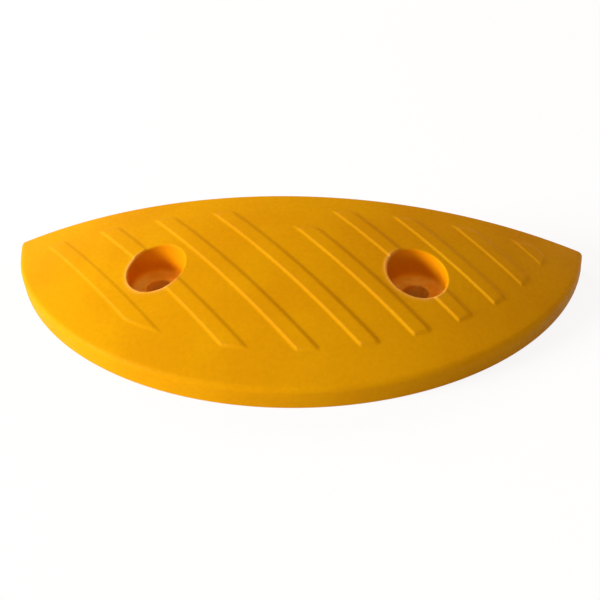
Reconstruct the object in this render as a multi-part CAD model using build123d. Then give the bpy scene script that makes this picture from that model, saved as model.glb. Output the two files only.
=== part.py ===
from build123d import *

import os
from math import hypot, radians, tan

# Half-round end cap of a modular speed bump: a domed moulding bolted to the road through two wells

# Driving dimensions, in millimetres and degrees
WIDTH = 351.0               # along the foot of the joining face, before its edges are softened
DEPTH = 124.5               # from the joining face to the front of the round
CROWN_HEIGHT = 47.4         # at the middle of the joining face
RIM_HEIGHT = 11.8           # upright rim round the dome
RIM_DRAW_IN = 1.7           # the rim leans in by this much from foot to top
RIM_ROUNDING = 5.0          # where the rim turns into the dome
JOINT_EDGE_ROUNDING = 0.8   # crown and upright edges of the joining face

BAR_COUNT = 9               # raised grip bars, all leaning the same way
BAR_WIDTH = 8.4
BAR_HEIGHT = 0.8
BAR_ANGLE = 45.4            # between the bars and the joining face
BAR_PITCH = 34.9            # measured along the joining face
BAR_BEVEL = 0.4             # along the bars' top edges
BAR_START = 14.0            # from the joining face to the bars' upper ends, at mid width
BAR_START_LEAN = 1.0        # the line of their upper ends comes nearer to the face on the right
BAR_RIM_GAP = 20.3          # from the bars' lower ends to the foot of the rim
MIDDLE_BAR_OFFSET = -4.3    # the middle bar's place on the start line
MIDDLE_BAR_START = 28.5     # the middle bar is cut short behind a bare patch

WELL_SPACING = 140.0        # between the two bolt axes
WELL_SETBACK = 53.5         # from the joining face to the bolt axes
WELL_FLOOR_RADIUS = 15.2
WELL_FLOOR_HEIGHT = 18.0
WELL_DRAFT = 3.5            # the well opens upwards by this angle
WELL_FLOOR_BEVEL = 2.0
WELL_MOUTH_BEVEL = 1.5
WELL_COLLAR = 19.0          # bars stop at this radius round a well

SLEEVE_RADIUS = 9.0
SLEEVE_BORE_RADIUS = 6.5    # clears an M12 ground bolt
SLEEVE_LENGTH = 7.0         # at road level, where the bolt bears sideways
SLEEVE_CHAMFER = 0.5
BOLT_HOLE_RADIUS = 6.8      # through the floor of the well, above the sleeve
BOLT_HOLE_LEAD = 0.8        # slope round the hole's mouth

SKIN = 6.5                  # wall of the dome over the hollow underside
RIM_WALL = 8.0
JOINT_WALL = 7.0
RIB_THICKNESS = 4.0
RIB_PITCH = 35.0            # both ways, so that ribs cross under the wells
BOSS_RADIUS = 21.0          # solid column under and round each well
SMALLEST_POCKET = 120.0     # square millimetres; smaller corners stay solid

# Sizes that follow from them. The origin is on the ground, under the middle of the part's box.
JOINT_Y = DEPTH / 2
HALF_WIDTH = WIDTH / 2
RIM_RADIUS = (HALF_WIDTH**2 + DEPTH**2) / (2 * DEPTH)
RIM_TOP_RADIUS = RIM_RADIUS - RIM_DRAW_IN
AXIS_SETBACK = RIM_RADIUS - DEPTH                 # the rim's axis stands behind the joining face
AXIS_Y = JOINT_Y + AXIS_SETBACK
DOME_CENTRE = (RIM_TOP_RADIUS**2 - AXIS_SETBACK**2 + RIM_HEIGHT**2 - CROWN_HEIGHT**2) / (
    2 * (RIM_HEIGHT - CROWN_HEIGHT)
)
DOME_RADIUS = hypot(AXIS_SETBACK, CROWN_HEIGHT - DOME_CENTRE)
WELL_Y = JOINT_Y - WELL_SETBACK
WELL_PLACES = {"left": (-WELL_SPACING / 2, WELL_Y), "right": (WELL_SPACING / 2, WELL_Y)}
ABOVE = CROWN_HEIGHT + 20.0                       # a level clear of the whole part
BAR_ROOT = 1.0                                    # how far a bar reaches into the dome to join it
UPRIGHT = (Align.CENTER, Align.CENTER, Align.MIN)


def in_front_of(y, lean=0.0):
    """Everything on the round side of a line along the joining face, or of one that leans from it."""
    return Pos(0, y) * Rot(0, 0, lean) * Pos(0, -WIDTH / 2) * Rectangle(2 * WIDTH, WIDTH)


def round_plan(radius, y):
    """Plan of a half-round: a disc about the rim's axis, cut off along the joining face at y."""
    return (Pos(0, AXIS_Y) * Circle(radius)) & in_front_of(y)


def dome(radius):
    """Ball whose upper side is the domed top."""
    return Pos(0, AXIS_Y, DOME_CENTRE) * Sphere(radius)


def outer_shell():
    """Solid half-round: a turned disc with its rim and dome, cut off at the joining face."""
    foot = (RIM_RADIUS, 0)
    rim_top = (RIM_TOP_RADIUS, RIM_HEIGHT)
    summit = (0, DOME_CENTRE + DOME_RADIUS)
    section = Polyline(summit, (0, 0), foot, rim_top) + RadiusArc(rim_top, summit, -DOME_RADIUS)
    section = Plane.XZ * make_face(section)
    crease = section.vertices().sort_by(Axis.X)[-2]
    turned = Pos(0, AXIS_Y) * revolve(fillet(crease, RIM_ROUNDING), Axis.Z)
    half_round = turned & extrude(in_front_of(JOINT_Y), ABOVE)
    joint_face = half_round.faces().sort_by(Axis.Y)[-1]
    raised_edges = joint_face.edges().sort_by(Axis.Z)[1:]
    return fillet(raised_edges, JOINT_EDGE_ROUNDING)


def well(place):
    """Tapered well that takes a bolt's head and the socket that turns it."""
    rise = ABOVE - WELL_FLOOR_HEIGHT
    mouth_radius = WELL_FLOOR_RADIUS + rise * tan(radians(WELL_DRAFT))
    bore = Cone(WELL_FLOOR_RADIUS, mouth_radius, rise, align=UPRIGHT)
    bore = chamfer(bore.edges().sort_by(Axis.Z)[0], WELL_FLOOR_BEVEL)
    return Pos(*place, WELL_FLOOR_HEIGHT) * bore


def sink_well(moulding, place):
    """The moulding with a well cut into it and the well's mouth bevelled."""
    hollow = well(place)
    sunk = moulding - hollow
    return chamfer(new_edges(moulding, hollow, combined=sunk), WELL_MOUTH_BEVEL)


def bolt_way(place):
    """Hole through the well's floor, sloped at its mouth, over the sleeve's wider seat."""
    hole = Cylinder(BOLT_HOLE_RADIUS, WELL_FLOOR_HEIGHT, align=UPRIGHT)
    mouth = Cone(BOLT_HOLE_RADIUS, BOLT_HOLE_RADIUS + BOLT_HOLE_LEAD, BOLT_HOLE_LEAD, align=UPRIGHT)
    mouth = Pos(0, 0, WELL_FLOOR_HEIGHT - BOLT_HOLE_LEAD) * mouth
    seat = Cylinder(SLEEVE_RADIUS, SLEEVE_LENGTH, align=UPRIGHT)
    return Pos(*place) * (hole + mouth + seat)


def grip_bars():
    """Raised diagonal bars that follow the dome from the start line to an arc inside the rim."""
    field = round_plan(RIM_RADIUS - BAR_RIM_GAP, JOINT_Y)
    for place in WELL_PLACES.values():
        field -= Pos(*place) * Circle(WELL_COLLAR)
    middle = BAR_COUNT // 2
    bars = []
    for index in range(BAR_COUNT):
        start = (MIDDLE_BAR_OFFSET + (index - middle) * BAR_PITCH, JOINT_Y - BAR_START)
        strip = Pos(*start) * Rot(0, 0, -BAR_ANGLE) * Rectangle(2 * WIDTH, BAR_WIDTH)
        setback = MIDDLE_BAR_START if index == middle else BAR_START
        plan = strip & field & in_front_of(JOINT_Y - setback, BAR_START_LEAN)
        for stretch in plan.faces():
            bar = extrude(stretch, ABOVE) & dome(DOME_RADIUS + BAR_HEIGHT)
            bar -= dome(DOME_RADIUS - BAR_ROOT)
            top = bar.faces().filter_by(GeomType.SPHERE).sort_by(Axis.Z)[-1]
            bars.append(chamfer(top.edges(), BAR_BEVEL))
    return bars


def underside_pockets():
    """Hollows between the ribs, closed above by the skin of the dome."""
    plan = round_plan(RIM_TOP_RADIUS - RIM_WALL, JOINT_Y - JOINT_WALL)
    steps_each_way = int(HALF_WIDTH // RIB_PITCH)
    for step in range(-steps_each_way, steps_each_way + 1):
        plan -= Pos(step * RIB_PITCH, 0) * Rectangle(RIB_THICKNESS, 2 * DEPTH)
    for step in (-1, 0, 1):
        plan -= Pos(0, WELL_Y + step * RIB_PITCH) * Rectangle(2 * WIDTH, RIB_THICKNESS)
    for place in WELL_PLACES.values():
        plan -= Pos(*place) * Circle(BOSS_RADIUS)
    ceiling = dome(DOME_RADIUS - SKIN)
    pockets = plan.faces().filter_by(lambda pocket: pocket.area > SMALLEST_POCKET)
    return [extrude(pocket, ABOVE) & ceiling for pocket in pockets]


def body():
    """The whole moulding."""
    moulding = outer_shell()
    for place in WELL_PLACES.values():
        moulding = sink_well(moulding, place)
    moulding += grip_bars()
    for place in WELL_PLACES.values():
        moulding -= bolt_way(place)
    return moulding - underside_pockets()


def bolt_sleeve(place):
    """Plain steel sleeve that takes the sideways push of wheels from the moulding to the bolt."""
    sleeve = Cylinder(SLEEVE_RADIUS, SLEEVE_LENGTH, align=UPRIGHT)
    sleeve -= Cylinder(SLEEVE_BORE_RADIUS, SLEEVE_LENGTH, align=UPRIGHT)
    bore_edges = sleeve.edges().filter_by(GeomType.CIRCLE).sort_by(SortBy.RADIUS)[:2]
    return Pos(*place) * chamfer(bore_edges, SLEEVE_CHAMFER)


os.makedirs("parts", exist_ok=True)
export_step(body(), "parts/body.step")
for side, place in WELL_PLACES.items():
    export_step(bolt_sleeve(place), f"parts/{side}_bolt_sleeve.step")
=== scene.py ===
import math

import bmesh
import bpy
from mathutils import Matrix, Vector


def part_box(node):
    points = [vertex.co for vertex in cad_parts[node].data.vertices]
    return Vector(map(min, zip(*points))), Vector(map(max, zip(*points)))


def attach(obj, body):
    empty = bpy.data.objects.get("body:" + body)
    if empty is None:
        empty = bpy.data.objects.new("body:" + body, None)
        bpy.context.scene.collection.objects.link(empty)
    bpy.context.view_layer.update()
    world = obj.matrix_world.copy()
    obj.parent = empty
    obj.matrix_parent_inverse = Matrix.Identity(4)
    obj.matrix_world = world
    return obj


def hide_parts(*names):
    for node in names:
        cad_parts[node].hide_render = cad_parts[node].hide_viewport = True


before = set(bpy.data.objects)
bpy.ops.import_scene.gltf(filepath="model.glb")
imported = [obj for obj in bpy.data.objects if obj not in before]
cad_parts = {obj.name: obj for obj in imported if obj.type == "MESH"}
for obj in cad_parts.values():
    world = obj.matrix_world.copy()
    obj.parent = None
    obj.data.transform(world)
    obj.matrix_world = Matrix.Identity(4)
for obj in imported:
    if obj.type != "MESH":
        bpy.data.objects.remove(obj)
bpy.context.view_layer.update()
mm = 0.001


# Half-round moulding: its form and the spacing of its mesh
moulding = {
    "width": 351 * mm,          # along the foot of the joining face, before its edges are softened
    "crownHeight": 47.4 * mm,
    "rimHeight": 11.1 * mm,
    "rimDrawIn": 0.3 * mm,      # the rim leans in from foot to top
    "cornerDrawIn": 1.4 * mm,   # and by this much more at the joining face
    "cornerReach": 35 * mm,
    "creaseRounding": 4.5 * mm,
    "creaseSteps": 8,
    "footRounding": 0.3 * mm,
    "footSteps": 4,
    "jointRounding": 0.8 * mm,
    "jointSteps": 6,
    "ringStep": 2.4 * mm,
    "spokes": 200,
    "overhang": 2.5 * mm,       # spun past the joining face before it is cut there
    "sharpFrom": math.radians(38),      # edges that turn by more are shaded as edges
}

bodyLow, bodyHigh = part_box("body")
jointY = bodyHigh.y
depth = bodyHigh.y - bodyLow.y
rimHeight, crownHeight = moulding["rimHeight"], moulding["crownHeight"]
rimRadius = ((moulding["width"] / 2) ** 2 + depth**2) / (2 * depth)
rimTopRadius = rimRadius - moulding["rimDrawIn"]
axisSetback = rimRadius - depth             # the rim's axis stands behind the joining face
axisY = jointY + axisSetback
domeCentreZ = (rimTopRadius**2 - axisSetback**2 + rimHeight**2 - crownHeight**2) / (
    2 * (rimHeight - crownHeight)
)
domeCentre = Vector((0, axisY, domeCentreZ))
domeRadius = math.hypot(axisSetback, crownHeight - domeCentreZ)

fewRings = 3 * moulding["ringStep"]
thirds = (1 / 3, 2 / 3, 1)
quarters = (0, 0.25, 0.5, 0.75)
cutTolerance = 0.01 * mm                    # a corner this near to a cut counts as on it


def softStep(t):
    t = min(1, max(0, t))
    return t * t * (3 - 2 * t)


def domeHeight(x, y, sunk=0):
    return domeCentre.z + math.sqrt((domeRadius - sunk) ** 2 - x * x - (y - domeCentre.y) ** 2)


def fromAxis(point):
    return math.hypot(point.x, point.y - axisY)


def fromWell(point, place):
    return math.hypot(point.x - place.x, point.y - place.y)


def arcPoints(pivot, radius, startAngle, endAngle, steps):
    turn = (endAngle - startAngle) / steps
    angles = [startAngle + i * turn for i in range(steps + 1)]
    return [(pivot.x + radius * math.cos(a), pivot.y + radius * math.sin(a)) for a in angles]


def quarterTurns(steps, first=0):
    return [math.radians(90 * step / steps) for step in range(first, steps + 1)]


# Short forms for meshes
def everything(bm):
    return bm.verts[:] + bm.edges[:] + bm.faces[:]


def splitAt(bm, parts, point, normal, **more):
    return bmesh.ops.bisect_plane(bm, geom=parts, plane_co=point, plane_no=normal, **more)["geom"]


# Faces with their edges and corners, each once and always in the same order
def partsOf(faces):
    return list(dict.fromkeys(part for face in faces for part in (face, *face.edges, *face.verts)))


def cutAcross(bm, faces, planes):
    parts = partsOf(faces)
    for point, normal in planes:
        parts = splitAt(bm, parts, point, normal, dist=cutTolerance)


def meshFrom(bm, name):
    mesh = bpy.data.meshes.new(name)
    bm.to_mesh(mesh)
    bm.free()
    return mesh


def addObject(name, data):
    holder = bpy.data.objects.new(name, data)
    bpy.context.scene.collection.objects.link(holder)
    return holder


# Section of dome and rim as (distance from axis, height), from the dome out and down to the foot
def mouldingSection():
    rounding = moulding["creaseRounding"]
    foot = moulding["footRounding"]
    climb = Vector((-moulding["rimDrawIn"], rimHeight)).normalized()
    outward = Vector((climb.y, -climb.x))
    middle = Vector((0, domeCentre.z))
    start = Vector((rimRadius, 0)) - outward * rounding - middle
    along = start.dot(climb)
    reach = math.sqrt(along**2 - start.length_squared + (domeRadius - rounding) ** 2) - along
    pivot = start + climb * reach
    domeAngle = math.atan2(pivot.y, pivot.x)
    rimAngle = math.atan2(outward.y, outward.x)
    pivot += middle
    creaseArc = arcPoints(pivot, rounding, domeAngle, rimAngle, moulding["creaseSteps"])
    clearance = 0.3 * moulding["ringStep"]      # between the even rings and a finer set
    radii = []
    radius = axisSetback - moulding["overhang"]
    while radius < creaseArc[0][0] - clearance:
        if abs(radius - barFieldRadius) > endRings[-1] + clearance:
            radii.append(radius)
        radius += moulding["ringStep"]
    radii += [barFieldRadius + ring for ring in endRings]
    section = [(r, domeCentre.z + math.sqrt(domeRadius**2 - r * r)) for r in sorted(radii)]
    section += creaseArc
    rimFoot = Vector((rimRadius, 0)) + climb * 2 * foot
    rimTop = Vector(creaseArc[-1])
    section += [tuple(rimTop.lerp(rimFoot, share)) for share in thirds]
    footPivot = Vector((rimRadius - foot, foot))
    section += arcPoints(footPivot, foot, 0, -math.pi / 2, moulding["footSteps"])
    return section


# Near the joining face the rim's top slides in along the dome
def leanCorners(bm):
    touching = 0.001 * mm
    reach = moulding["cornerReach"]
    rimSlope = rimTopRadius / (rimHeight - domeCentre.z)
    for v in bm.verts:
        onDome = abs(v.co.z - domeHeight(v.co.x, v.co.y)) < touching
        nearJoint = softStep((v.co.y - jointY + reach) / reach)
        nearRim = softStep((fromAxis(v.co) - rimRadius + reach) / reach)
        share = nearJoint * nearRim
        shift = moulding["cornerDrawIn"] * share * min(1, v.co.z / rimHeight)
        inward = Vector((-v.co.x, axisY - v.co.y, 0)).normalized()
        v.co += inward * shift
        v.co.z = domeHeight(v.co.x, v.co.y) if onDome else v.co.z + rimSlope * shift


def spinSkin(bm):
    halfTurn = math.acos((axisSetback - moulding["overhang"]) / rimRadius)
    sine, cosine = math.sin(halfTurn), math.cos(halfTurn)
    chain = []
    for radius, height in mouldingSection():
        chain.append(bm.verts.new((-radius * sine, axisY - radius * cosine, height)))
    edges = [bm.edges.new(pair) for pair in zip(chain, chain[1:])]
    bmesh.ops.spin(
        bm, geom=chain + edges, cent=(0, axisY, 0), axis=(0, 0, 1),
        angle=2 * halfTurn, steps=moulding["spokes"],
    )
    leanCorners(bm)
    splitAt(bm, everything(bm), (0, jointY, 0), (0, 1, 0), dist=cutTolerance, clear_outer=True)
    bm.normal_update()
    if sum(f.normal.z for f in bm.faces) < 0:
        bmesh.ops.reverse_faces(bm, faces=bm.faces[:])


# Bolt wells, made of rings about their axes
wells = {
    "spacing": 140 * mm,
    "setback": 53.5 * mm,
    "segments": 96,
    "patchRadius": 22 * mm,     # dome mesh is opened up to here
    "ringRadius": 20 * mm,
    "collarRadius": 19.5 * mm,
    "lipRounding": 1.0 * mm,
    "lipSteps": 6,
    "burrHeight": 0.13 * mm,    # the lip is turned up a little on its paler side, over this run
    "burrRun": 1.4 * mm,
    "paleLipFrom": Vector((-0.62, -0.78)),   # the lip is paler towards the front left: partly rubbing, partly a painted reflection
    "paleLipSpread": (0.55, 1.1),            # square to that side, and how much more towards it
    "leastPaleLip": 0.1,                     # at the outer foot of the burr
    "floorRadius": 15.2 * mm,
    "floorHeight": 18 * mm,
    "floorRounding": 3 * mm,
    "floorSteps": 5,
    "draft": math.radians(3.5),
    "holeRadius": 6.8 * mm,
    "holeRounding": 0.8 * mm,
    "holeSteps": 4,
    "seatRadius": 9.02 * mm,    # room for the steel sleeve
    "seatHeight": 7 * mm,
    "barMargin": 0.6 * mm,      # bars stop this far outside the floor's edge
}

wellY = jointY - wells["setback"]
wellPlaces = [Vector((side * wells["spacing"] / 2, wellY)) for side in (-1, 1)]
wallFoot = wells["floorHeight"] + wells["floorRounding"]
footRadius = wells["floorRadius"] + wells["floorRounding"] * math.tan(wells["draft"])


def ringVerts(edges):
    return {v for e in edges for v in e.verts}


# Radius and height are numbers, or functions of the direction and of the place
def nextRing(bm, edges, place, radius, height):
    fresh = bmesh.ops.extrude_edge_only(bm, edges=edges)["geom"]
    lower = [g for g in fresh if isinstance(g, bmesh.types.BMVert)]
    for v in lower:
        away = Vector((v.co.x - place.x, v.co.y - place.y)).normalized()
        spot = place + away * (radius(away) if callable(radius) else radius)
        v.co = (spot.x, spot.y, height(spot.x, spot.y) if callable(height) else height)
    lower = set(lower)
    sides = [g for g in fresh if isinstance(g, bmesh.types.BMEdge)]
    return [e for e in sides if lower.issuperset(e.verts)]


# Opens the dome round a well and closes it again up to the well's collar
def openWell(bm, place):
    def within(part, reach):
        return [fromWell(v.co, place) < reach for v in part.verts]

    inside = [f for f in bm.faces if any(within(f, wells["patchRadius"]))]
    bmesh.ops.delete(bm, geom=inside, context="FACES")
    reach = wells["patchRadius"] + fewRings
    hole = [e for e in bm.edges if e.is_boundary and all(within(e, reach))]
    ring = bmesh.ops.create_circle(
        bm, cap_ends=False, radius=wells["ringRadius"], segments=wells["segments"],
        matrix=Matrix.Translation((place.x, place.y, 0)),
    )["verts"]
    for v in ring:
        v.co.z = domeHeight(v.co.x, v.co.y)
    ringEdges = list(dict.fromkeys(e for v in ring for e in v.link_edges))
    bmesh.ops.bridge_loops(bm, edges=hole + ringEdges)
    return nextRing(bm, ringEdges, place, wells["collarRadius"], domeHeight)


def paintRing(edges, layer, amount):
    for v in ringVerts(edges):
        v[layer] = amount


def frontLeftShare(x, y, place):
    away = Vector((x - place.x, y - place.y)).normalized()
    square, towards = wells["paleLipSpread"]
    return softStep(square + towards * away.dot(wells["paleLipFrom"]))


# Paler lip towards the front left: partly rubbing, partly a painted reflection
def paintPaleLip(edges, layer, place, amount):
    for v in ringVerts(edges):
        v[layer] = amount * frontLeftShare(v.co.x, v.co.y, place)


# Top of the tapered wall, where it meets the rounding of the lip
def wallRadius(place, away):
    spot = place + away * (wells["floorRadius"] + wells["lipRounding"])
    top = domeHeight(spot.x, spot.y) - wells["lipRounding"]
    return wells["floorRadius"] + (top - wells["floorHeight"]) * math.tan(wells["draft"])


def turnLip(bm, edges, place):
    lip, burr, run = wells["lipRounding"], wells["burrHeight"], wells["burrRun"]
    least = wells["leastPaleLip"]
    wearAndHighlight, wellShade = (bm.verts.layers.float[name] for name in ("wearAndHighlight", "wellShade"))
    for share in quarters:
        edges = nextRing(
            bm, edges, place,
            lambda away: wallRadius(place, away) + lip + run * (1 - share),
            lambda x, y: domeHeight(x, y) + burr * softStep(share) * frontLeftShare(x, y, place),
        )
        paintPaleLip(edges, wearAndHighlight, place, least + (1 - least) * share**2)
    for turn in quarterTurns(wells["lipSteps"]):
        out, down = 1 - math.sin(turn), 1 - math.cos(turn)
        edges = nextRing(
            bm, edges, place,
            lambda away: wallRadius(place, away) + lip * out,
            lambda x, y: domeHeight(x, y) + burr * frontLeftShare(x, y, place) - lip * down,
        )
        # The pale lip, rubbing with a painted reflection, fades out and the painted well shade
        # fades in as the lip turns down
        paintPaleLip(edges, wearAndHighlight, place, softStep(2.2 * math.cos(turn)))
        paintRing(edges, wellShade, softStep(1.6 * math.sin(turn) - 0.6))
    return edges


def sinkWall(bm, edges, place):
    wellShade = bm.verts.layers.float["wellShade"]

    def bearing(x, y):
        return round(math.atan2(y - place.y, x - place.x), 4)

    tops = {bearing(v.co.x, v.co.y): v.co.z for v in ringVerts(edges)}

    def partWay(share):
        def height(x, y):
            top = tops[bearing(x, y)]
            return top + (wallFoot - top) * share
        return height

    for share in quarters[1:]:
        edges = nextRing(
            bm, edges, place,
            lambda away: wallRadius(place, away) + (footRadius - wallRadius(place, away)) * share,
            partWay(share),
        )
        # Painted shade on the well's wall
        paintRing(edges, wellShade, 1)
    return edges


def layFloor(bm, edges, place):
    dustAndLight, wellShade = (bm.verts.layers.float[name] for name in ("dustAndLight", "wellShade"))
    rounding = wells["floorRounding"]
    # The floor gets painted shade, and pale dust that is partly painted light
    for turn in quarterTurns(wells["floorSteps"]):
        radius = footRadius - rounding * (1 - math.cos(turn))
        edges = nextRing(bm, edges, place, radius, wallFoot - rounding * math.sin(turn))
        paintRing(edges, dustAndLight, softStep(math.sin(turn) ** 2))
        paintRing(edges, wellShade, 1)
    holeMouth = wells["holeRadius"] + wells["holeRounding"]
    for share in thirds:
        radius = footRadius - rounding + (holeMouth - footRadius + rounding) * share
        edges = nextRing(bm, edges, place, radius, wells["floorHeight"])
        paintRing(edges, dustAndLight, 1)
        paintRing(edges, wellShade, 1)
    return edges


# Bolt hole and sleeve's seat, down to the ground
def boreHole(bm, edges, place):
    # Painted shade down the hole's walls
    wellShade = bm.verts.layers.float["wellShade"]
    rounding = wells["holeRounding"]
    holeMouth = wells["holeRadius"] + rounding
    for turn in quarterTurns(wells["holeSteps"], 1):
        radius = holeMouth - rounding * math.sin(turn)
        height = wells["floorHeight"] - rounding * (1 - math.cos(turn))
        edges = nextRing(bm, edges, place, radius, height)
        paintRing(edges, wellShade, 1)
    edges = nextRing(bm, edges, place, wells["holeRadius"], wells["seatHeight"])
    paintRing(edges, wellShade, 1)
    edges = nextRing(bm, edges, place, wells["seatRadius"], wells["seatHeight"])
    return nextRing(bm, edges, place, wells["seatRadius"], 0)


def sinkWell(bm, place):
    edges = openWell(bm, place)
    for step in (turnLip, sinkWall, layFloor, boreHole):
        edges = step(bm, edges, place)


# Grip bars: the dome is cut along their soft edges, then lifted by how far a point is inside a bar
bars = {
    # Left to right, from the flat top to the dome
    "heights": [height * mm for height in (0.38, 0.48, 0.58, 0.64, 0.66, 0.63, 0.6, 0.54, 0.5)],
    "crownShare": 0.6,          # of that height at the crown
    "fullFrom": 140 * mm,       # and all of it from this far off the rim's axis
    "flatTop": (-3.1 * mm, 2.8 * mm),       # its two edges, from the bar's middle line
    "leftSlope": 2 * mm,
    "rightSlopes": (2.2 * mm, 4.4 * mm),    # from the first bar to the last
    "cornerRounding": (0.15, 0.7),          # of the lower end, left and right, in runs of the slope
    "angle": math.radians(45.4),
    "pitch": 34.9 * mm,         # along the joining face
    "start": 14 * mm,           # in front of the joining face, at mid width
    "startSlope": math.tan(math.radians(1)),    # the start line comes nearer to it on the right
    "startRamp": 4 * mm,        # a bar's upper end rises more slowly
    "rimGap": 19.3 * mm,
    "middleOffset": -4.3 * mm,
    "middleStart": 28.5 * mm,
    "wearAndHighlight": 0.25,               # painted highlight along the top of the left slope, the side facing the window
}

# Cuts for the slopes and the upper and lower ends, with a guard outside each set
softLines = (-1.4, -1, -0.6, -0.2, 0.2, 0.6, 1, 1.4)
startShares = (-0.6, -0.5, -0.3, -0.1, 0.1, 0.3, 0.5, 0.6)
endRings = [ring * mm for ring in (-3, -2.2, -1.6, -1.1, -0.6, -0.2, 0.2, 0.6, 1.1, 1.6, 2.2, 3)]

barAcross = Vector((math.sin(bars["angle"]), math.cos(bars["angle"])))
barStartY = jointY - bars["start"]
barSpacing = bars["pitch"] * barAcross.x
barCount = len(bars["heights"])
middleBar = barCount // 2
barFieldRadius = rimRadius - bars["rimGap"]
barStopRadius = wells["floorRadius"] + wells["barMargin"]


def acrossBars(point):
    return (point.x - bars["middleOffset"]) * barAcross.x + (point.y - barStartY) * barAcross.y


def beforeStart(point, setback):
    return point.y - jointY + setback - point.x * bars["startSlope"]


def nearestBar(point):
    return round(acrossBars(point) / barSpacing) + middleBar


def fromMiddleLine(point, index):
    return acrossBars(point) - (index - middleBar) * barSpacing


def barHeight(point, index):
    grown = min(1, (fromAxis(point) - axisSetback) / (bars["fullFrom"] - axisSetback))
    return bars["heights"][index] * (bars["crownShare"] + (1 - bars["crownShare"]) * grown)


# Middle and run of the slopes on a bar's two sides
def barSlopes(index):
    first, last = bars["rightSlopes"]
    leftRun, rightRun = bars["leftSlope"], first + (last - first) * index / (barCount - 1)
    leftTop, rightTop = bars["flatTop"]
    return (leftTop - leftRun / 2, leftRun), (rightTop + rightRun / 2, rightRun)


# From 0 on the bare dome to 1 on a bar's flat top
def barCover(point):
    index = nearestBar(point)
    if not 0 <= index < barCount:
        return 0
    offset = fromMiddleLine(point, index)
    setback = bars["middleStart"] if index == middleBar else bars["start"]
    (left, leftRun), (right, rightRun) = barSlopes(index)
    leftRound, rightRound = bars["cornerRounding"]
    rightness = softStep((offset - left) / (right - left))
    corner = leftRound + (rightRound - leftRound) * rightness
    aside = corner + max((left - offset) / leftRun, (offset - right) / rightRun)
    run = leftRun + (rightRun - leftRun) * rightness
    beyond = corner + (fromAxis(point) - barFieldRadius) / run
    outside = math.hypot(max(aside, 0), max(beyond, 0)) + min(0, max(aside, beyond)) - corner
    started = softStep(0.5 - beforeStart(point, setback) / bars["startRamp"])
    cover = softStep(0.5 - outside) * started
    for well in wellPlaces:
        cover *= softStep((fromWell(point, well) - barStopRadius) / wells["lipRounding"])
    return cover


def startCuts(setback):
    lean = (-bars["startSlope"], 1, 0)
    return [((0, jointY - setback + share * bars["startRamp"], 0), lean) for share in startShares]


def slopeCuts(index, centre):
    origin = Vector((bars["middleOffset"], barStartY))
    cuts = []
    for middle, run in barSlopes(index):
        for line in softLines:
            point = barAcross * (centre + middle + line * run / 2) + origin
            cuts.append(((point.x, point.y, 0), (barAcross.x, barAcross.y, 0)))
    return cuts


def cutBars(bm):
    lowerEnd = barFieldRadius + endRings[-1]
    margin = bars["flatTop"][1] + max(bars["rightSlopes"]) + 2 * moulding["ringStep"]
    top = [f for f in bm.faces if fromAxis(f.calc_center_median()) < lowerEnd]
    ending = [f for f in top if abs(beforeStart(f.calc_center_median(), bars["start"])) < margin]
    cutAcross(bm, ending, startCuts(bars["start"]))
    for index in range(barCount):
        centre = (index - middleBar) * barSpacing
        strip = []
        for f in bm.faces:
            spot = f.calc_center_median()
            if abs(acrossBars(spot) - centre) > margin or fromAxis(spot) > lowerEnd:
                continue
            if beforeStart(spot, bars["start"]) > bars["startRamp"]:
                continue
            if min(fromWell(spot, well) for well in wellPlaces) > barStopRadius:
                strip.append(f)
        cuts = slopeCuts(index, centre)
        if index == middleBar:
            cuts += startCuts(bars["middleStart"])
        cutAcross(bm, strip, cuts)


def liftBars(bm):
    wearAndHighlight = bm.verts.layers.float["wearAndHighlight"]
    # Painted highlight along the top of each bar's left slope, which faces the window lamp
    for v in bm.verts:
        cover = barCover(v.co)
        if cover > 0 and v.co.z > rimHeight:
            index = nearestBar(v.co)
            leftSide = softStep(fromMiddleLine(v.co, index) / bars["flatTop"][0])
            upper = softStep(3 * cover - 1.6)       # painted highlight from half way up the slope
            edge = softStep((1 - cover) * 40)       # to the start of the flat top
            v[wearAndHighlight] = max(v[wearAndHighlight], bars["wearAndHighlight"] * leftSide * upper * edge)
            v.co += (v.co - domeCentre).normalized() * barHeight(v.co, index) * cover


# Rolls the skin over into the joining face
def roundJoint(bm):
    rounding = moulding["jointRounding"]
    near = [f for f in bm.faces if f.calc_center_median().y > jointY - rounding - fewRings]
    turns = quarterTurns(moulding["jointSteps"])[:-1]
    setbacks = [rounding * (1 - math.sin(turn)) for turn in turns]
    cutAcross(bm, near, [((0, jointY - setback, 0), (0, 1, 0)) for setback in setbacks])
    bm.normal_update()
    wearAndHighlight = bm.verts.layers.float["wearAndHighlight"]
    moves = {}
    for v in bm.verts:
        over = (v.co.y - jointY + rounding) / rounding
        if over > 0:
            over = min(1, over)
            inward = Vector((v.normal.x, 0, max(0, v.normal.z))).normalized()
            moves[v] = v.co - inward * rounding * (1 - math.sqrt(1 - over * over))
            rubbed = softStep(over * 1.5) * softStep((1 - over) * 6)    # but not on the face itself
            v[wearAndHighlight] = max(v[wearAndHighlight], rubbed)
    for v, spot in moves.items():
        v.co = spot


# Ribs and pockets under the dome, drawn flat on the ground and pushed up to the skin
underside = {
    "skin": 6.5 * mm,
    "rimWall": 9.4 * mm,
    "jointWall": 7 * mm,
    "ribThickness": 4 * mm,
    "ribPitch": 35 * mm,
    "bossRadius": 21 * mm,
    "bossSides": 40,
    "planSides": 240,
    "straightTo": math.radians(0.4),    # corners of a pocket that turn by less are taken out
    "cornerFrom": math.radians(25),     # and those that turn by more are rounded
    "cornerRounding": 2.2 * mm,
    "cornerSteps": 4,
    "smallestPocket": 120 * mm * mm,
    "ceilingStep": 8 * mm,
}


def cornerTurn(v):
    if len(v.link_edges) != 2:
        return 0
    one, two = (e.other_vert(v).co - v.co for e in v.link_edges)
    return math.pi - one.angle(two)


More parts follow.
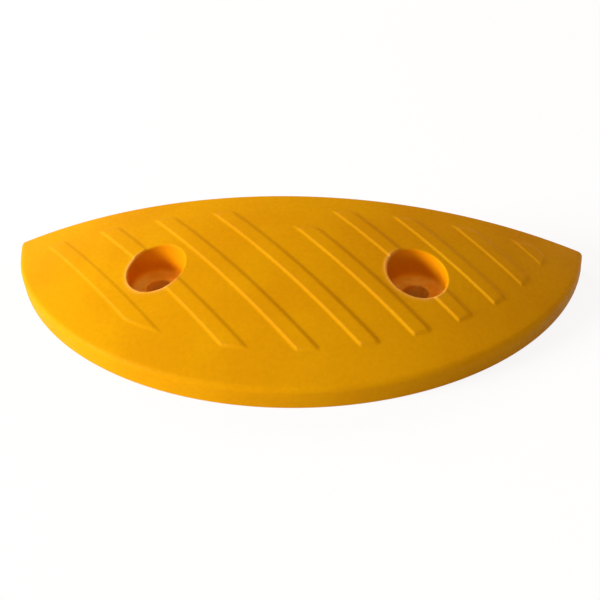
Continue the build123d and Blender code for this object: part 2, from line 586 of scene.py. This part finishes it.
# Takes a round boss out of the pockets, one side at a time
def cutBoss(bm, place):
    reach = underside["bossRadius"]
    inside = [f for f in bm.faces if min(fromWell(v.co, place) for v in f.verts) < 2 * reach]
    for side in range(underside["bossSides"]):
        turn = 2 * math.pi * side / underside["bossSides"]
        outward = Vector((math.cos(turn), math.sin(turn)))
        point = place + outward * reach
        cut = splitAt(bm, partsOf(inside), (point.x, point.y, 0), (outward.x, outward.y, 0))
        halves = [g for g in cut if isinstance(g, bmesh.types.BMFace)]
        inside = [f for f in halves if (f.calc_center_median().xy - point).dot(outward) < 0]
    bmesh.ops.delete(bm, geom=inside, context="FACES")


def drawPockets(bm):
    planRadius, backY = rimTopRadius - underside["rimWall"], jointY - underside["jointWall"]
    bmesh.ops.create_circle(
        bm, cap_ends=True, radius=planRadius, segments=underside["planSides"],
        matrix=Matrix.Translation((0, axisY, 0)),
    )
    splitAt(bm, everything(bm), (0, backY, 0), (0, 1, 0), clear_outer=True)
    half, pitch = underside["ribThickness"] / 2, underside["ribPitch"]
    ribsEachWay = int(moulding["width"] / 2 // pitch)
    upright = [step * pitch for step in range(-ribsEachWay, ribsEachWay + 1)]
    level = [wellY + step * pitch for step in (-1, 0, 1)]
    for edge in (-half, half):
        for x in upright:
            splitAt(bm, everything(bm), (x + edge, 0, 0), (1, 0, 0))
        for y in level:
            splitAt(bm, everything(bm), (0, y + edge, 0), (0, 1, 0))
    ribs = []
    for f in bm.faces:
        spot = f.calc_center_bounds()
        onUpright = min(abs(spot.x - x) for x in upright) < half
        onLevel = min(abs(spot.y - y) for y in level) < half
        if onUpright or onLevel:
            ribs.append(f)
    bmesh.ops.delete(bm, geom=ribs, context="FACES")
    for place in wellPlaces:
        cutBoss(bm, place)
    bmesh.ops.dissolve_limit(
        bm, angle_limit=underside["straightTo"], verts=bm.verts[:], edges=bm.edges[:]
    )
    small = [f for f in bm.faces if f.calc_area() < underside["smallestPocket"]]
    bmesh.ops.delete(bm, geom=small, context="FACES")
    corners = [v for v in bm.verts if cornerTurn(v) > underside["cornerFrom"]]
    bmesh.ops.bevel(
        bm, geom=corners, offset=underside["cornerRounding"], segments=underside["cornerSteps"],
        profile=0.5, material=-1, affect="VERTICES",
    )


def raisePockets(bm):
    aboveGround = 1 * mm
    mouths = []
    for floor in bm.faces[:]:
        raised = bmesh.ops.extrude_face_region(bm, geom=[floor])["geom"]
        ceiling = next(g for g in raised if isinstance(g, bmesh.types.BMFace))
        for v in ceiling.verts:
            v.co.z = domeHeight(v.co.x, v.co.y, underside["skin"])
        mouths.append(floor)
        low = [min(v.co[i] for v in ceiling.verts) for i in (0, 1)]
        high = [max(v.co[i] for v in ceiling.verts) for i in (0, 1)]
        cuts = []
        for i, normal in enumerate(((1, 0, 0), (0, 1, 0))):
            steps = math.ceil((high[i] - low[i]) / underside["ceilingStep"])
            for step in range(1, steps):
                at = low[i] + (high[i] - low[i]) * step / steps
                cuts.append(((at, at, 0), normal))
        cutAcross(bm, [ceiling], cuts)
    bmesh.ops.delete(bm, geom=mouths, context="FACES_ONLY")
    for v in bm.verts:
        if v.co.z > aboveGround:
            v.co.z = domeHeight(v.co.x, v.co.y, underside["skin"])


# Fills the joining face, then the ground round the pockets and the sleeves' seats
def closeGround(bm):
    nearFace, nearGround = 0.05 * mm, 0.02 * mm
    joint = [
        e for e in bm.edges
        if e.is_boundary and all(abs(v.co.y - jointY) < nearFace for v in e.verts)
    ]
    feet = [v for e in joint for v in e.verts if v.co.z < nearGround]
    left, right = min(feet, key=lambda v: v.co.x), max(feet, key=lambda v: v.co.x)
    sill = bm.edges.new((left, right))
    bmesh.ops.contextual_create(bm, geom=joint + [sill])
    ground = [e for e in bm.edges if len(e.link_faces) < 2]
    bmesh.ops.triangle_fill(bm, use_beauty=True, edges=ground, normal=(0, 0, -1))


def makeBody():
    bm = bmesh.new()
    # Masks: wear with painted highlight and reflection, painted shade in the wells, dust with
    # painted light
    for name in ("wearAndHighlight", "wellShade", "dustAndLight"):
        bm.verts.layers.float.new(name)
    spinSkin(bm)
    print("skin spun:", len(bm.faces), "faces")
    for place in wellPlaces:
        sinkWell(bm, place)
    print("wells sunk:", len(bm.faces), "faces")
    cutBars(bm)
    liftBars(bm)
    print("bars lifted:", len(bm.faces), "faces")
    roundJoint(bm)
    ribs = bmesh.new()
    drawPockets(ribs)
    raisePockets(ribs)
    ribMesh = meshFrom(ribs, "ribs")
    bm.from_mesh(ribMesh)
    bpy.data.meshes.remove(ribMesh)
    closeGround(bm)
    openEdges = sum(not e.is_manifold for e in bm.edges)
    print("ground closed:", len(bm.faces), "faces,", openEdges, "open edges")
    bmesh.ops.recalc_face_normals(bm, faces=bm.faces[:])
    mesh = meshFrom(bm, "moulded_body")
    mesh.shade_smooth()
    mesh.set_sharp_from_angle(angle=moulding["sharpFrom"])
    body = addObject("moulded_body", mesh)
    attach(body, "root")
    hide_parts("body")
    return body


body = makeBody()


# The camera of the photograph, fitted to the part's outline
viewpoint = {
    "lookAt": Vector((0, -7.75, 25)) * mm,
    "elevation": math.radians(36.2264),
    "swing": math.radians(4.8937),
    "roll": math.radians(-1.5856),
    "distance": 324.609 * mm,
    "slideX": -9.160 * mm,
    "slideY": 1.633 * mm,
    "focalPixels": 628.919,
    "framePixels": 600,
    "sensor": 36,
    "nearest": 10 * mm,
}


def makeCamera():
    rise, swing, roll = viewpoint["elevation"], viewpoint["swing"], viewpoint["roll"]
    level = math.cos(rise)
    back = Vector((math.sin(swing) * level, -math.cos(swing) * level, math.sin(rise)))
    right = Vector((math.cos(swing), math.sin(swing), 0))
    up = back.cross(right)
    sine, cosine = math.sin(roll), math.cos(roll)
    right, up = right * cosine + up * sine, up * cosine - right * sine
    spot = (
        viewpoint["lookAt"] - right * viewpoint["slideX"]
        - up * viewpoint["slideY"] + back * viewpoint["distance"]
    )
    data = bpy.data.cameras.new("photoCamera")
    data.sensor_width = viewpoint["sensor"]
    data.lens = viewpoint["focalPixels"] * viewpoint["sensor"] / viewpoint["framePixels"]
    data.clip_start = viewpoint["nearest"]
    camera = addObject("photoCamera", data)
    camera.matrix_world = Matrix((
        (right.x, up.x, back.x, spot.x),
        (right.y, up.y, back.y, spot.y),
        (right.z, up.z, back.z, spot.z),
        (0, 0, 0, 1),
    ))
    bpy.context.scene.camera = camera


makeCamera()
print("camera set")


# Short forms for wiring nodes
def feed(tree, socket, value):
    if isinstance(value, bpy.types.NodeSocket):
        tree.links.new(value, socket)
    else:
        socket.default_value = value


def feedAll(tree, node, values):
    for name, value in values.items():
        feed(tree, node.inputs[name], value)


def sums(tree, operation, *values, clamp=False):
    node = tree.nodes.new("ShaderNodeMath")
    node.operation = operation
    node.use_clamp = clamp
    for socket, value in zip(node.inputs, values):
        feed(tree, socket, value)
    return node.outputs[0]


def blended(tree, share, low, high, mode="MIX"):
    node = tree.nodes.new("ShaderNodeMix")
    node.data_type = "RGBA"
    node.blend_type = mode
    for index, value in ((0, share), (6, low), (7, high)):      # the sockets for colours
        feed(tree, node.inputs[index], value)
    return node.outputs[2]


def ranged(tree, value, low, high, toLow=0.0, toHigh=1.0):
    node = tree.nodes.new("ShaderNodeMapRange")
    node.interpolation_type = "SMOOTHSTEP"
    feedAll(tree, node, {
        "Value": value, "From Min": low, "From Max": high, "To Min": toLow, "To Max": toHigh,
    })
    return node.outputs["Result"]


def noised(tree, place, scale, detail=3.0, roughness=0.55):
    node = tree.nodes.new("ShaderNodeTexNoise")
    feedAll(tree, node, {
        "Vector": place, "Scale": scale, "Detail": detail, "Roughness": roughness,
    })
    return node.outputs["Fac"]


def painted(tree, name):
    node = tree.nodes.new("ShaderNodeAttribute")
    node.attribute_name = name
    return node.outputs["Fac"]


def bumped(tree, height, strength, distance):
    node = tree.nodes.new("ShaderNodeBump")
    feedAll(tree, node, {"Strength": strength, "Distance": distance, "Height": height})
    return node.outputs["Normal"]


# Rays that show the background itself, and not the light that it throws
def seenRays(tree):
    path = tree.nodes.new("ShaderNodeLightPath").outputs
    seen = sums(tree, "MAXIMUM", path["Is Camera Ray"], path["Is Glossy Ray"])
    return sums(tree, "MAXIMUM", seen, path["Is Transmission Ray"])


def newGroup(name, inputs, outputs):
    tree = bpy.data.node_groups.new(name, "ShaderNodeTree")
    for label, value in inputs.items():
        socket = tree.interface.new_socket(label, in_out="INPUT", socket_type="NodeSocketFloat")
        socket.default_value = value
    for label in outputs:
        tree.interface.new_socket(label, in_out="OUTPUT", socket_type="NodeSocketFloat")
    return tree, tree.nodes.new("NodeGroupInput").outputs, tree.nodes.new("NodeGroupOutput").inputs


def placeGroup(tree, group, values):
    node = tree.nodes.new("ShaderNodeGroup")
    node.node_tree = group
    feedAll(tree, node, values)
    return node.outputs


def newMaterial(name):
    material = bpy.data.materials.new(name)
    material.use_nodes = True
    tree = material.node_tree
    return material, tree, tree.nodes["Principled BSDF"]


# A window low on the left, a weak low lamp in front, softer ones above and behind, and an even sky.
# Angles in degrees round and above the part, power in watts; glossy lamps show in the part's shine.
studio = {
    "lamps": {
        "window": {"azimuth": 199, "elevation": 16.3, "size": 1.05, "power": 139, "glossy": True},
        "overhead": {"azimuth": 250, "elevation": 75, "size": 1.6, "power": 18, "glossy": True},
        "front": {"azimuth": 240, "elevation": 3, "size": 0.6, "power": 18, "glossy": False},
        "farRight": {"azimuth": 60, "elevation": 14, "size": 1.8, "power": 37, "glossy": False},
        "farLeft": {"azimuth": 135, "elevation": 20, "size": 1.8, "power": 33, "glossy": False},
    },
    "distance": 3,
    "windowColour": (0.9, 1, 1),
    "fillColour": (1, 0.85, 0.78),
    "skyStrength": 0.28,
    "floorSize": 5,
    "floorGap": 0.2 * mm,
    "floorShade": (0.65, 0.65, 0.65, 1),    # what the floor throws back on the part
    "whiteShare": 0.86,                     # the rest shows the part's shadow
}
pureWhite = (1, 1, 1, 1)


def placeLamp(name, lamp):
    rise, turn = math.radians(lamp["elevation"]), math.radians(lamp["azimuth"])
    level = math.cos(rise)
    toward = Vector((math.cos(turn) * level, math.sin(turn) * level, math.sin(rise)))
    data = bpy.data.lights.new(name, "AREA")
    data.shape = "DISK"
    data.size = lamp["size"]
    data.energy = lamp["power"]
    data.color = studio["windowColour"] if name == "window" else studio["fillColour"]
    holder = addObject(name, data)
    turned = toward.to_track_quat("Z", "Y").to_matrix().to_4x4()
    holder.matrix_world = Matrix.Translation(toward * studio["distance"]) @ turned
    holder.visible_glossy = lamp["glossy"]


def makeLight():
    for name, lamp in studio["lamps"].items():
        placeLamp(name, lamp)
    world = bpy.data.worlds.new("studio")
    world.use_nodes = True
    tree = world.node_tree
    sky = tree.nodes["Background"]
    seen = seenRays(tree)
    feed(tree, sky.inputs["Color"], blended(tree, seen, (*studio["fillColour"], 1), pureWhite))
    strength = sums(tree, "MULTIPLY_ADD", seen, 1 - studio["skyStrength"], studio["skyStrength"])
    feed(tree, sky.inputs["Strength"], strength)
    bpy.context.scene.world = world
    bpy.context.scene.view_settings.view_transform = "Standard"


makeLight()
print("light set")


# Levels between which the noises of the shared groups fade in, and what is left where they are out
levels = {
    "patches": (0.32, 0.68),
    "mottle": (0.28, 0.72),
    "mottleHeight": 0.6,        # of the mottle in the bump
    "breaks": (0.3, 0.6),
    "leastRubAndHighlight": 0.35,
    "clumps": (0.35, 0.65),
    "leastDirt": 0.3,
    "cleanShare": 0.85,         # of the cells that could hold a speck
}


# Cloudy patches, fine mottle and the pores of a cast or moulded skin
def makeSkinGrain():
    tree, given, out = newGroup(
        "skinGrain",
        {
            "Patches per metre": 22, "Mottle per metre": 400,
            "Pores per metre": 1500, "Pore depth": 0.5,
        },
        ("Patches", "Mottle", "Height"),
    )
    place = tree.nodes.new("ShaderNodeTexCoord").outputs["Object"]
    patches = noised(tree, place, given["Patches per metre"], 2.0)
    mottle = noised(tree, place, given["Mottle per metre"], 4.0, 0.65)
    pores = noised(tree, place, given["Pores per metre"], 2.0, 0.6)
    feed(tree, out["Patches"], ranged(tree, patches, *levels["patches"]))
    feed(tree, out["Mottle"], ranged(tree, mottle, *levels["mottle"]))
    waves = sums(tree, "MULTIPLY", mottle, levels["mottleHeight"])
    feed(tree, out["Height"], sums(tree, "MULTIPLY_ADD", pores, given["Pore depth"], waves))
    return tree


# Broken-up rubbing and painted highlight along edges, from a mask painted on the piece
def makeEdgeRubAndHighlight():
    tree, given, out = newGroup(
        "edgeRubAndHighlight", {"Mask": 0, "Breaks per metre": 160, "Amount": 0.9}, ("Rub and highlight",)
    )
    place = tree.nodes.new("ShaderNodeTexCoord").outputs["Object"]
    breaks = noised(tree, place, given["Breaks per metre"], 3.0)
    breaks = ranged(tree, breaks, *levels["breaks"], levels["leastRubAndHighlight"], 1.0)
    rubAndHighlight = sums(tree, "MULTIPLY", given["Mask"], breaks)
    feed(tree, out["Rub and highlight"], sums(tree, "MULTIPLY", rubAndHighlight, given["Amount"], clamp=True))
    return tree


# Road dirt that gathers where a mask says, and sparse specks anywhere
def makeRoadDirt():
    tree, given, out = newGroup(
        "roadDirt",
        {
            "Mask": 0, "Clumps per metre": 120, "Amount": 0.6,
            "Specks per metre": 42, "Speck size": 0.03,
        },
        ("Dirt", "Specks"),
    )
    place = tree.nodes.new("ShaderNodeTexCoord").outputs["Object"]
    clumps = noised(tree, place, given["Clumps per metre"], 4.0)
    clumps = ranged(tree, clumps, *levels["clumps"], levels["leastDirt"], 1.0)
    dirt = sums(tree, "MULTIPLY", given["Mask"], clumps)
    feed(tree, out["Dirt"], sums(tree, "MULTIPLY", dirt, given["Amount"], clamp=True))
    cells = tree.nodes.new("ShaderNodeTexVoronoi")
    feedAll(tree, cells, {"Vector": place, "Scale": given["Specks per metre"]})
    near = sums(tree, "LESS_THAN", cells.outputs["Distance"], given["Speck size"])
    apart = tree.nodes.new("ShaderNodeSeparateColor")
    feed(tree, apart.inputs[0], cells.outputs["Color"])
    chosen = sums(tree, "GREATER_THAN", apart.outputs[0], levels["cleanShare"])
    feed(tree, out["Specks"], sums(tree, "MULTIPLY", near, chosen))
    return tree


skinGrain, edgeRubAndHighlight, roadDirt = makeSkinGrain(), makeEdgeRubAndHighlight(), makeRoadDirt()

polymer = {
    "colour": (0.70, 0.305, 0.001, 1),
    "deepColour": (0.66, 0.27, 0.001, 1),
    "mottleColour": (0.93, 0.93, 0.93, 1),          # multiplies the colour in the mottle's lows
    # Paler colour for rubbed edges, also a painted highlight on the bars and a painted reflection
    # on the lips
    "rubAndHighlightColour": (0.84, 0.36, 0.065, 1),
    "wellShadeColour": (0.71, 0.235, 0.001, 1),     # painted shade: deeper and redder down in the wells
    # Pale dust on the well floors: partly dust, partly painted light
    "dustAndLightColour": (0.84, 0.40, 0.04, 1),
    "dustAndLightAmount": 0.9,
    "speckColour": (0.40, 0.15, 0.01, 1),
    "roughness": (0.44, 0.60),                      # smoothest and dullest spots
    "rubbedRoughness": 0.36,
    "specular": 0.03,
    "specularTint": (1, 0.75, 0.3, 1),
    "bump": 0.10,
    "bumpDistance": 0.15 * mm,
}


def makePolymer():
    material, tree, shader = newMaterial("yellowPolymer")
    grain = placeGroup(tree, skinGrain, {})
    rubAndHighlight = placeGroup(tree, edgeRubAndHighlight, {"Mask": painted(tree, "wearAndHighlight")})
    floorDustAndLight = {"Mask": painted(tree, "dustAndLight"), "Amount": polymer["dustAndLightAmount"]}
    dirt = placeGroup(tree, roadDirt, floorDustAndLight)
    colour = blended(tree, grain["Patches"], polymer["deepColour"], polymer["colour"])
    shaded = blended(tree, 1.0, colour, polymer["mottleColour"], "MULTIPLY")
    colour = blended(tree, grain["Mottle"], shaded, colour)
    # Painted shade: a deeper, redder colour down in the wells
    colour = blended(tree, painted(tree, "wellShade"), colour, polymer["wellShadeColour"])
    # Rubbing on the joint's edge, painted reflection on the wells' front-left lips, painted
    # highlight on the bars' left slopes
    colour = blended(tree, rubAndHighlight["Rub and highlight"], colour, polymer["rubAndHighlightColour"])
    # Pale dust on the well floors: partly dust, partly painted light
    colour = blended(tree, dirt["Dirt"], colour, polymer["dustAndLightColour"])
    colour = blended(tree, dirt["Specks"], colour, polymer["speckColour"])
    feed(tree, shader.inputs["Base Color"], colour)
    smooth, dull = polymer["roughness"]
    roughness = ranged(tree, grain["Mottle"], 0.0, 1.0, dull, smooth)
    rubbed = sums(tree, "MULTIPLY", rubAndHighlight["Rub and highlight"], polymer["rubbedRoughness"] - smooth)
    feed(tree, shader.inputs["Roughness"], sums(tree, "ADD", roughness, rubbed))
    shader.inputs["Specular IOR Level"].default_value = polymer["specular"]
    shader.inputs["Specular Tint"].default_value = polymer["specularTint"]
    normal = bumped(tree, grain["Height"], polymer["bump"], polymer["bumpDistance"])
    feed(tree, shader.inputs["Normal"], normal)
    return material


body.data.materials.append(makePolymer())

sleeveSteel = {
    "colour": (0.56, 0.56, 0.57, 1),
    "deepColour": (0.44, 0.44, 0.46, 1),
    "grain": {
        "Patches per metre": 150, "Mottle per metre": 900,
        "Pores per metre": 2600, "Pore depth": 0.8,
    },
    "dirtColour": (0.13, 0.09, 0.06, 1),
    "dirt": {"Clumps per metre": 500, "Amount": 0.5},
    "metallic": 0.9,
    "roughness": (0.34, 0.55),
    "bump": 0.25,
    "bumpDistance": 0.1 * mm,
}


def makeSleeveSteel():
    material, tree, shader = newMaterial("zincSteel")
    grain = placeGroup(tree, skinGrain, sleeveSteel["grain"])
    dirt = placeGroup(tree, roadDirt, {"Mask": grain["Patches"], **sleeveSteel["dirt"]})
    colour = blended(tree, grain["Mottle"], sleeveSteel["deepColour"], sleeveSteel["colour"])
    colour = blended(tree, dirt["Dirt"], colour, sleeveSteel["dirtColour"])
    feed(tree, shader.inputs["Base Color"], colour)
    shader.inputs["Metallic"].default_value = sleeveSteel["metallic"]
    roughness = ranged(tree, grain["Mottle"], 0.0, 1.0, *sleeveSteel["roughness"])
    feed(tree, shader.inputs["Roughness"], roughness)
    normal = bumped(tree, grain["Height"], sleeveSteel["bump"], sleeveSteel["bumpDistance"])
    feed(tree, shader.inputs["Normal"], normal)
    return material


zincSteel = makeSleeveSteel()
for name in ("left_bolt_sleeve", "right_bolt_sleeve"):
    for slot in bpy.data.objects[name].material_slots:
        slot.material = zincSteel
print("materials made")


# Shows white with the part's shadow on it, and throws back less light than white would
def makeFloor():
    bm = bmesh.new()
    bmesh.ops.create_grid(bm, x_segments=1, y_segments=1, size=studio["floorSize"])
    bmesh.ops.translate(bm, verts=bm.verts[:], vec=(0, 0, -studio["floorGap"]))
    mesh = meshFrom(bm, "floor")
    floor = addObject("floor", mesh)
    material, tree, shader = newMaterial("whiteFloor")
    seen = seenRays(tree)
    feed(tree, shader.inputs["Base Color"], blended(tree, seen, studio["floorShade"], pureWhite))
    shader.inputs["Roughness"].default_value = 1
    shader.inputs["Specular IOR Level"].default_value = 0
    white = tree.nodes.new("ShaderNodeEmission")
    white.inputs["Strength"].default_value = 1
    mix = tree.nodes.new("ShaderNodeMixShader")
    feed(tree, mix.inputs[0], sums(tree, "MULTIPLY", seen, studio["whiteShare"]))
    tree.links.new(shader.outputs[0], mix.inputs[1])
    tree.links.new(white.outputs[0], mix.inputs[2])
    tree.links.new(mix.outputs[0], tree.nodes["Material Output"].inputs["Surface"])
    mesh.materials.append(material)


makeFloor()
print("floor laid")
